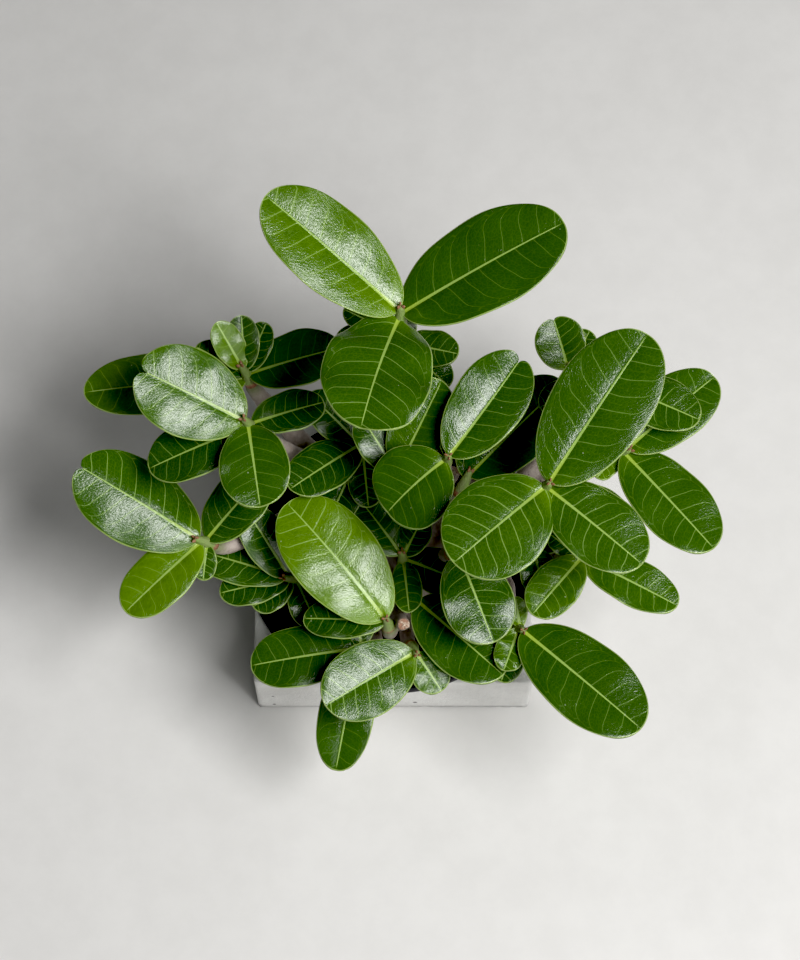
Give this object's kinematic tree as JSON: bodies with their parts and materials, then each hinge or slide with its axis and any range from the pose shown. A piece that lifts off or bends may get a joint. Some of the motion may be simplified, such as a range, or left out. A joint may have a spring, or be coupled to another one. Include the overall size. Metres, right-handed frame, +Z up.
{
  "type": "potted desert rose adenium",
  "caption": "Desert rose (adenium) with a swollen stem base and rosettes of glossy oval leaves, in a round nursery pot nested in a low square planter.",
  "frame": {"origin": "centre of the planter's flat underside", "axes": "+Z up; -Y towards the front, the side the picture was taken from; +X to the right seen from the front"},
  "size_m": [0.263, 0.1924, 0.2122],
  "materials": {
    "cement": "matt pale grey cast cement",
    "black_plastic": "satin black moulded plastic",
    "soil": "matt dark granular mix with a few pale grains",
    "bark": "smooth grey-brown bark with scars",
    "leaf": "glossy leathery green leaf with pale veins"
  },
  "bodies": {
    "root": {"square_pot": "cement", "inner_pot": "black_plastic", "soil": "soil", "caudex": "bark", "leaves_back": "leaf", "leaves_back_low": "leaf", "leaves_left_back": "leaf", "leaves_left_high": "leaf", "leaves_left_front": "leaf", "leaves_left_low": "leaf", "leaves_front": "leaf", "leaves_front_mid": "leaf", "leaves_front_left": "leaf", "leaves_front_low": "leaf", "leaves_middle": "leaf", "leaves_centre": "leaf", "leaves_inner_high": "leaf", "leaves_inner": "leaf", "leaves_side_shoot": "leaf", "leaves_right_high": "leaf", "leaves_right_upper": "leaf", "leaves_right": "leaf", "leaves_right_back": "leaf", "leaves_right_front": "leaf", "leaves_front_right": "leaf", "leaves_low_right": "leaf", "leaves_right_low": "leaf"}
  },
  "joints": []
}
